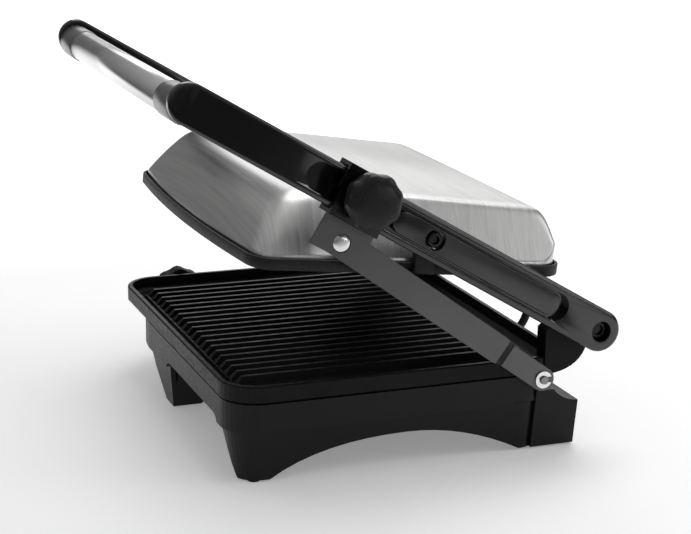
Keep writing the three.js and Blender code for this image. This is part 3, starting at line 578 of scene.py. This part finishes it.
def lid_outline():
    """Points and outward normals round the lid, with the front edge bowed out."""
    corner_steps, edge_steps = 14, 36
    inner = LID_HALF - LID_CORNER
    centres = [
        (LID_BACK - LID_CORNER, inner), (LID_FRONT + LID_CORNER, inner),
        (LID_FRONT + LID_CORNER, -inner), (LID_BACK - LID_CORNER, -inner),
    ]
    line = []
    for quarter, (cx, cy) in enumerate(centres):
        for i in range(corner_steps + 1):
            angle = (quarter + i / corner_steps) * math.pi / 2
            normal = (math.cos(angle), math.sin(angle))
            line.append([cx + LID_CORNER * normal[0], cy + LID_CORNER * normal[1], normal])
        after = centres[(quarter + 1) % 4]
        for i in range(1, edge_steps):
            t = i / edge_steps
            line.append([
                cx + (after[0] - cx) * t + LID_CORNER * normal[0],
                cy + (after[1] - cy) * t + LID_CORNER * normal[1], normal,
            ])
    for point in line:
        near_front = min(max((LID_FRONT + LID_CORNER - point[0]) / LID_CORNER, 0), 1)
        point[0] += LID_BOW * min(1, (point[1] / inner) ** 2) * near_front
    return line


def smoothstep(value, low, high):
    """Rises from 0 at low to 1 at high, level at both."""
    t = min(max((value - low) / (high - low), 0), 1)
    return t * t * (3 - 2 * t)


def soft_min(a, b, r):
    """The lower of two heights, blended where they are within r of each other."""
    share = max(r - abs(a - b), 0) / r
    return min(a, b) - share * share * r / 4


def dome_height(x, y):
    """The lid's height: a crowned top between a sloped front, steep flanks and a round back."""
    side = abs(y)
    ridge = RIDGE_TOP - RIDGE_FALL * smoothstep(x, -45, 95) ** 1.15
    crease = CREASE_TOP - CREASE_FALL * smoothstep(x, -95, 85)
    swell = 0.5 + 0.5 * math.cos(math.pi * min(side / DOME_CREASE, 1))
    top = crease + (ridge - crease) * swell - max(0, side - DOME_CREASE) * 0.1
    ahead = x - LID_FRONT - DOME_INSET - LID_BOW * (side / LID_HALF) ** 2
    front = NO_BOUND
    if ahead < FRONT_RUN:
        front = RIM_HIGH + 1.86 * ahead - 0.0175 * ahead * ahead
    flank = RIM_HIGH + 1.62 * (LID_HALF - DOME_INSET - side) + 2
    back = RIM_HIGH + 38 * (1 - math.exp(-max(LID_BACK - DOME_INSET - x, -3) / 5.5))
    faces = soft_min(front, flank, 26)
    return soft_min(soft_min(top, faces, 5), back, 9)


def lid_cover():
    """The domed cover, as shrinking rings: fine ones over its edges, coarse ones on its top."""
    line = lid_outline()
    middle = (LID_FRONT + LID_BACK) / 2
    scales = [1 - 0.004 * i for i in range(75)] + [0.7 - 0.025 * i for i in range(28)]

    def ring(scale, z=None):
        spots = []
        for x, y, normal in line:
            px = middle + (x - middle) * scale - normal[0] * DOME_INSET * scale
            py = y * scale - normal[1] * DOME_INSET * scale
            spots.append((px, py, max(dome_height(px, py), RIM_HIGH + 0.6) if z is None else z))
        return spots

    skirt = [ring(1, RIM_HIGH - 4), ring(1, RIM_HIGH)]
    return rings_mesh("lid_cover", skirt + [ring(scale) for scale in scales])


def lid_frame():
    """The cast rim round the lid, with its two pivot ears and the lead's block."""
    line = lid_outline()

    def ring(offset, z):
        return [(x + n[0] * offset, y + n[1] * offset, z) for x, y, n in line]

    profile = [
        (RIM_LEDGE, RIM_LOW), (-0.9, RIM_LOW), (-0.25, RIM_LOW + 0.3), (0, RIM_LOW + 0.9),
        (0, RIM_HIGH - 0.7), (-0.25, RIM_HIGH - 0.2), (-0.8, RIM_HIGH), (-1.5, RIM_HIGH),
        (-1.9, RIM_HIGH - 0.2), (-2, RIM_HIGH - 0.7), (-2, RIM_LOW + 3),
        (RIM_LEDGE, RIM_LOW + 3),
    ]
    band = rings_mesh("band", [ring(*spot) for spot in profile], closed=True)
    ear = arc(0, 0, EAR_RADIUS, 0, 180, 24)
    ear += [(-EAR_RADIUS, RIM_LOW + 1), (EAR_RADIUS, RIM_LOW + 1)]
    right = plate("ear", ear, [arc(0, 0, EAR_HOLE, 0, 345, 23)], -EAR_OUTER, -EAR_INNER, 0.7)
    front, back = LID_BACK - 1, BLOCK_BACK
    outline = [(front, RIM_LOW), (back, RIM_LOW), (back, RIM_HIGH), (front, RIM_HIGH)]
    block = plate("block", outline, [], LEAD_Y - BLOCK_HALF, LEAD_Y + BLOCK_HALF, 0.6)
    return merged("lid_frame", band, right, flipped(right), block)


piece("lid_cover_shell", lid_cover(), LID, "lid", "brushed_steel", "lid_cover", 60)
piece("lid_frame_casting", lid_frame(), LID, "lid", "cast_rim", "lid_frame", 40)


# ---- handle --------------------------------------------------------------------------------
ARM_TIP, ARM_HALF, ARM_INNER, ARM_OUTER, TIP_RADIUS = 308.0, 13.4, 140.0, 152.0, 12.6
ARM_ROUNDING = 2.2
PRESS_BAND, PRESS_REACH = 2.25, 2.3     # just over the rounding, so that all of it is pressed flat
CHANNEL = (-228.6, -29.0, 9.0)          # front end, back end and half its height
CHANNEL_FLOOR = 147.0
INSERT = (-164.0, -34.7, 7.4)
BOW_FROM, BOW_RUN, BOW_IN = 240.0, 82.0, 6.5
GRIP_DROP, GRIP_HALF, GRIP_RADIUS = 2.5, 110.0, 10.3


def bowed(mesh):
    """Curves the outer face of a right-hand arm in towards the grip."""
    for vertex in mesh.vertices:
        x, y = vertex.co.x / MM, vertex.co.y / MM
        share = min(max((-x - BOW_FROM) / BOW_RUN, 0), 1)
        inward = BOW_IN * share ** 2 * (ARM_INNER + y) / (ARM_INNER - ARM_OUTER)
        vertex.co.y = (y + inward) * MM
    return mesh


def sliced(mesh, first, last, count):
    """Adds loops across X so that a long face can bend."""
    bm = bmesh.new()
    bm.from_mesh(mesh)
    for i in range(count):
        x = first + (last - first) * i / (count - 1)
        bmesh.ops.bisect_plane(
            bm, geom=bm.verts[:] + bm.edges[:] + bm.faces[:], dist=1e-7,
            plane_co=(x * MM, 0, 0), plane_no=(1, 0, 0))
    bm.to_mesh(mesh)
    bm.free()
    return mesh


def press_flat(layers):
    """Pushes the rounded edges where an arm's two layers meet back out to its outline."""
    for vertex in layers.verts:
        x, y, z = vertex.co.x / MM, -vertex.co.y / MM, vertex.co.z / MM
        if abs(y - CHANNEL_FLOOR) >= PRESS_BAND:
            continue
        if x > 0:
            reach = math.hypot(x, z)
            if reach > ARM_HALF - PRESS_REACH:
                vertex.co.x *= ARM_HALF / reach
                vertex.co.z *= ARM_HALF / reach
        elif x > -ARM_TIP:
            want = ARM_HALF + (TIP_RADIUS - ARM_HALF) * -x / ARM_TIP
            if abs(z) > want - PRESS_REACH:
                vertex.co.z = math.copysign(want, z) * MM
        else:
            reach = math.hypot(x + ARM_TIP, z)
            if reach > TIP_RADIUS - PRESS_REACH:
                vertex.co.x = (-ARM_TIP + (x + ARM_TIP) * TIP_RADIUS / reach) * MM
                vertex.co.z *= TIP_RADIUS / reach


def arm():
    """A right-hand arm: a round-ended bar in two layers, the outer one with the channel."""
    outer = arc(0, 0, ARM_HALF, -90, 90, 36) + arc(-ARM_TIP, 0, TIP_RADIUS, 90, 270, 36)
    bolt_hole = arc(0, 0, 6.7, 0, 350, 35)
    pivot_hole = arc(-LID_PIVOT, 0, 5.1, 0, 350, 35)
    layers = bmesh.new()
    layers.from_mesh(plate(
        "face", outer, [slot_line(*CHANNEL), bolt_hole], -ARM_OUTER, -CHANNEL_FLOOR, ARM_ROUNDING))
    layers.from_mesh(plate(
        "back", outer, [bolt_hole, pivot_hole], -CHANNEL_FLOOR, -ARM_INNER, ARM_ROUNDING))
    press_flat(layers)
    mesh = bpy.data.meshes.new("arm")
    layers.to_mesh(mesh)
    layers.free()
    return bowed(sliced(mesh, -BOW_FROM - BOW_RUN, -BOW_FROM, 18))


def arm_insert():
    """The strip that fills the channel, with a hole for the lid's pivot bolt."""
    hole = arc(-LID_PIVOT, 0, 6.7, 0, 350, 35)
    return plate("insert", slot_line(*INSERT), [hole], -150, -CHANNEL_FLOOR - 0.3, 0.7)


def collar():
    """The collar between the grip and a right-hand arm."""
    return turning("collar", [
        (4.5, -139.7), (10.2, -139.7), (10.8, -139.4), (11, -138.8), (11, -111.3),
        (10.8, -110.6), (10.4, -110.3), (4.5, -110.3),
    ], -ARM_TIP, -GRIP_DROP)


def grip():
    """The steel grip tube, with its ends' outer edges broken."""
    edge = GRIP_RADIUS - 0.4
    bore = GRIP_RADIUS - 1.1
    return turning("grip", [
        (bore, -GRIP_HALF), (edge, -GRIP_HALF), (GRIP_RADIUS, -GRIP_HALF + 0.5),
        (GRIP_RADIUS, GRIP_HALF - 0.5), (edge, GRIP_HALF), (bore, GRIP_HALF),
    ], -ARM_TIP, -GRIP_DROP, 96)


def bolt(shank, head, tip, face, outer):
    """A round-headed bolt with a hollow socket, along Y."""
    return turning("bolt", [
        (shank, -tip), (shank, -face), (head, -face), (head, 0.8 - outer),
        (head - 0.3, 0.3 - outer), (head - 0.9, -outer), (head * 0.58, -outer),
        (head * 0.52, 0.5 - outer), (head * 0.5, 1.9 - outer),
    ], 0, 0, 48)


for side, turn in (("right", lambda mesh: mesh), ("left", flipped)):
    piece(f"arm_{side}_bar", turn(arm()), HANDLE, "handle", "gloss_black",
          f"arm_{side}", 32, bevel=0.45)
    piece(f"arm_{side}_insert", turn(arm_insert()), HANDLE, "handle", "gloss_black",
          f"arm_insert_{side}", 50)
    piece(f"grip_{side}_collar", turn(collar()), HANDLE, "handle", "satin_collar",
          f"grip_collar_{side}", 50)
    piece(f"hinge_{side}_screw", turn(bolt(4, 6, 124, 144.3, 148)), HINGE, "base", "dark_steel",
          f"hinge_bolt_{side}", 40)
    piece(f"lid_pivot_{side}_screw", turn(bolt(3.5, 4.8, 134.5, 147.3, 149.6)), LID, "lid",
          "dark_steel", f"lid_pivot_bolt_{side}", 40)
piece("grip_sleeve", grip(), HANDLE, "handle", "polished_steel", "grip_tube", 50)


# ---- clamp ---------------------------------------------------------------------------------
KNOB_X, KNOB_UP = CLAMP_AT - 190.0, 2.5
KNOB_RADIUS, KNOB_LOBES, LOBE_DEPTH = 17.3, 8, 1.15


def clamp_knob():
    """A hand knob with soft lobes, narrower at the back and domed at the front."""
    profile = [
        (3.2, -158.8), (13.4, -158.8), (14.6, -159.3), (15.4, -160.6), (16.6, -164),
        (KNOB_RADIUS, -168), (KNOB_RADIUS, -171), (16.9, -173), (15.9, -174.6), (14.2, -175.6),
        (11, -176.3), (6, -176.7), (1, -176.8),
    ]
    turns = [2 * math.pi * i / 160 for i in range(160)]
    rings = []
    for radius, y in profile:
        depth = LOBE_DEPTH * (radius / KNOB_RADIUS) ** 2.6
        ring = []
        for a in turns:
            reach = radius - depth * (0.5 - 0.5 * math.cos(KNOB_LOBES * a + 0.6)) ** 1.15
            ring.append((KNOB_X + reach * math.cos(a), y, KNOB_UP + reach * math.sin(a)))
        rings.append(ring)
    return rings_mesh("knob", rings)


def stay_rivet():
    """The domed rivet that the stay hangs on."""
    return turning("rivet", [
        (8.4, -139.9), (8.4, -140.9), (3.5, -140.9), (3.5, -143.5), (5.3, -143.6), (5.6, -144.4),
        (5.4, -145.1), (4.6, -145.6), (3, -145.9), (1, -146),
    ], CLAMP_AT - RIVET_ALONG, -RIVET_BELOW, 56)


piece("clamp_hand_knob", clamp_knob(), CLAMP, "knob", "knob_black", "clamp_knob", 70)
piece("stay_rivet_head", stay_rivet(), CLAMP, "clamp", "polished_steel", "stay_rivet", 40)


# ---- stay ----------------------------------------------------------------------------------
RIVET_AT = HANDLE @ Vector((-RIVET_ALONG * MM, 0, -RIVET_BELOW * MM))
PIN_AT = DRAWING @ Vector((STAY_PIN_X * MM, 0, STAY_PIN_Z * MM))
STAY_RUN = RIVET_AT - PIN_AT
STAY_LENGTH = STAY_RUN.length / MM
STAY = turned(STAY_PIN_X, STAY_PIN_Z, math.atan2(STAY_RUN.z, -STAY_RUN.x))
STAY_FOOT, STAY_HALF = 7.75, 9.0        # half its width at the pin and above the step
STEP_FROM, STEP_TO, STEP_OUT = 31.0, 38.0, 4.0


def stay_strip():
    """The flat stay, with its small sideways step near the base."""
    outer = arc(0, 0, STAY_FOOT, -90, 90, 24) + [(-30, STAY_FOOT), (-42, STAY_HALF)]
    outer += arc(-STAY_LENGTH, 0, STAY_HALF, 90, 270, 28)
    outer += [(-42, -STAY_HALF), (-30, -STAY_FOOT)]
    holes = [arc(0, 0, 2.8, 0, 345, 23), arc(-STAY_LENGTH, 0, 6.9, 0, 350, 35)]
    flat = plate("stay", outer, holes, -139.2, -137.2, 0.35, 2)
    mesh = sliced(flat, -STEP_TO, -STEP_FROM, 2)
    for vertex in mesh.vertices:
        share = (-vertex.co.x / MM - STEP_FROM) / (STEP_TO - STEP_FROM)
        vertex.co.y -= STEP_OUT * MM * min(max(share, 0), 1)
    return mesh


stay_bar = piece("stay_bar", stay_strip(), STAY, "stay", "stay_steel", "stay_strip", 20)
# The sideways step reads as a dark band, so its faces get painted shade: a darker steel than the rest
# of the stay.
stay_bar.data.materials.append(MATERIALS["stay_step_painted_shade"])
for face in stay_bar.data.polygons:
    if -STEP_TO < face.center.x / MM < -STEP_FROM:
        face.material_index = 1


# ---- lead from the base to the lid ---------------------------------------------------------
def spline(points, steps):
    """A smooth run of points through the given ones."""
    ends = [points[0] * 2 - points[1], *points, points[-1] * 2 - points[-2]]
    run = []
    for before, start, stop, after in zip(ends, ends[1:], ends[2:], ends[3:]):
        for i in range(steps):
            t = i / steps
            run.append(0.5 * (
                2 * start + (stop - before) * t
                + (2 * before - 5 * start + 4 * stop - after) * t ** 2
                + (3 * start - before - 3 * stop + after) * t ** 3))
    return run + [points[-1]]


def tube(name, run, radius, sides=20):
    """A round tube along a run of points that lies in one upright plane."""
    rings = []
    for i, spot in enumerate(run):
        along = (run[min(i + 1, len(run) - 1)] - run[max(i - 1, 0)]).normalized()
        out = along.cross(Vector((0, 1, 0)))
        rings.append([
            spot + radius * (out * math.cos(a) + Vector((0, 1, 0)) * math.sin(a))
            for a in (2 * math.pi * k / sides for k in range(sides))
        ])
    return rings_mesh(name, rings)


LEAD_RADIUS = 2.8
LEAD_STEPS = 12
LEAD_SPLIT = 4                          # the point beside the hinge where the two lengths meet


def lead():
    """The lead behind the hinge, as two lengths: base to handle, and handle to lid."""
    entry = Vector(((BLOCK_BACK + 0.3) * MM, 0, (RIM_LOW + RIM_HIGH) / 2 * MM))
    lid_end = DRAWING.inverted() @ LID @ entry / MM
    route = [
        (228.3, 42.5), (236, 43), (245, 51.5), (250, 66.5), (251, 82.5), (249, 97.5),
        (243, lid_end.z - 6), (236, lid_end.z - 1.4), (lid_end.x, lid_end.z),
    ]
    points = [Vector((x, LEAD_Y, z)) for x, z in route]
    whole = spline(points, LEAD_STEPS)
    split = LEAD_SPLIT * LEAD_STEPS
    middle = points[LEAD_SPLIT]
    for name, run, bodies, start, end in (
        ("lead_lower", whole[:split + 1], ("base", "handle"), points[1], middle),
        ("lead_upper", whole[split:], ("handle", "lid"), middle, points[-1]),
    ):
        made = bpy.data.objects.new(name, tube(name, run, LEAD_RADIUS))
        bpy.context.scene.collection.objects.link(made)
        made.data.materials.append(MATERIALS["rubber"])
        for face in made.data.polygons:
            face.use_smooth = True
        made.matrix_world = DRAWING
        bpy.context.view_layer.update()
        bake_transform(made)
        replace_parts(made, "lid_lead")


lead()


# ---- carried-over CAD pieces ---------------------------------------------------------------
SLOTS = {row["node"]: row["material_slot"] for row in frame["record"]["subparts"]}
OWN_LOOK = {"clamp_tab": "stay_steel", "temperature_dial": "dial_black"}
SOFT_EDGES = {"clamp_body": (1.1, 4), "temperature_dial": (1.1, 4)}
PLAIN_EDGES = (0.4, 2)                  # a bevel's width and segments


def dress(node):
    """Gives a CAD node its material, soft edges and smooth shading."""
    shown = frame["nodes"][node]
    shown.data.materials.clear()
    shown.data.materials.append(MATERIALS[OWN_LOOK.get(node, SLOTS[node])])
    for face in shown.data.polygons:
        face.use_smooth = True
    width, segments = SOFT_EDGES.get(node, PLAIN_EDGES)
    edge = shown.modifiers.new("edges", "BEVEL")
    edge.width = width * MM
    edge.segments = segments
    edge.limit_method = "ANGLE"
    edge.angle_limit = math.radians(38)
    split = shown.modifiers.new("sharp", "EDGE_SPLIT")
    split.split_angle = math.radians(38)


stood_for = {node for made in bpy.data.objects for node in made.get("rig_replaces", [])}
for node in frame["nodes"]:
    if node not in stood_for:
        dress(node)
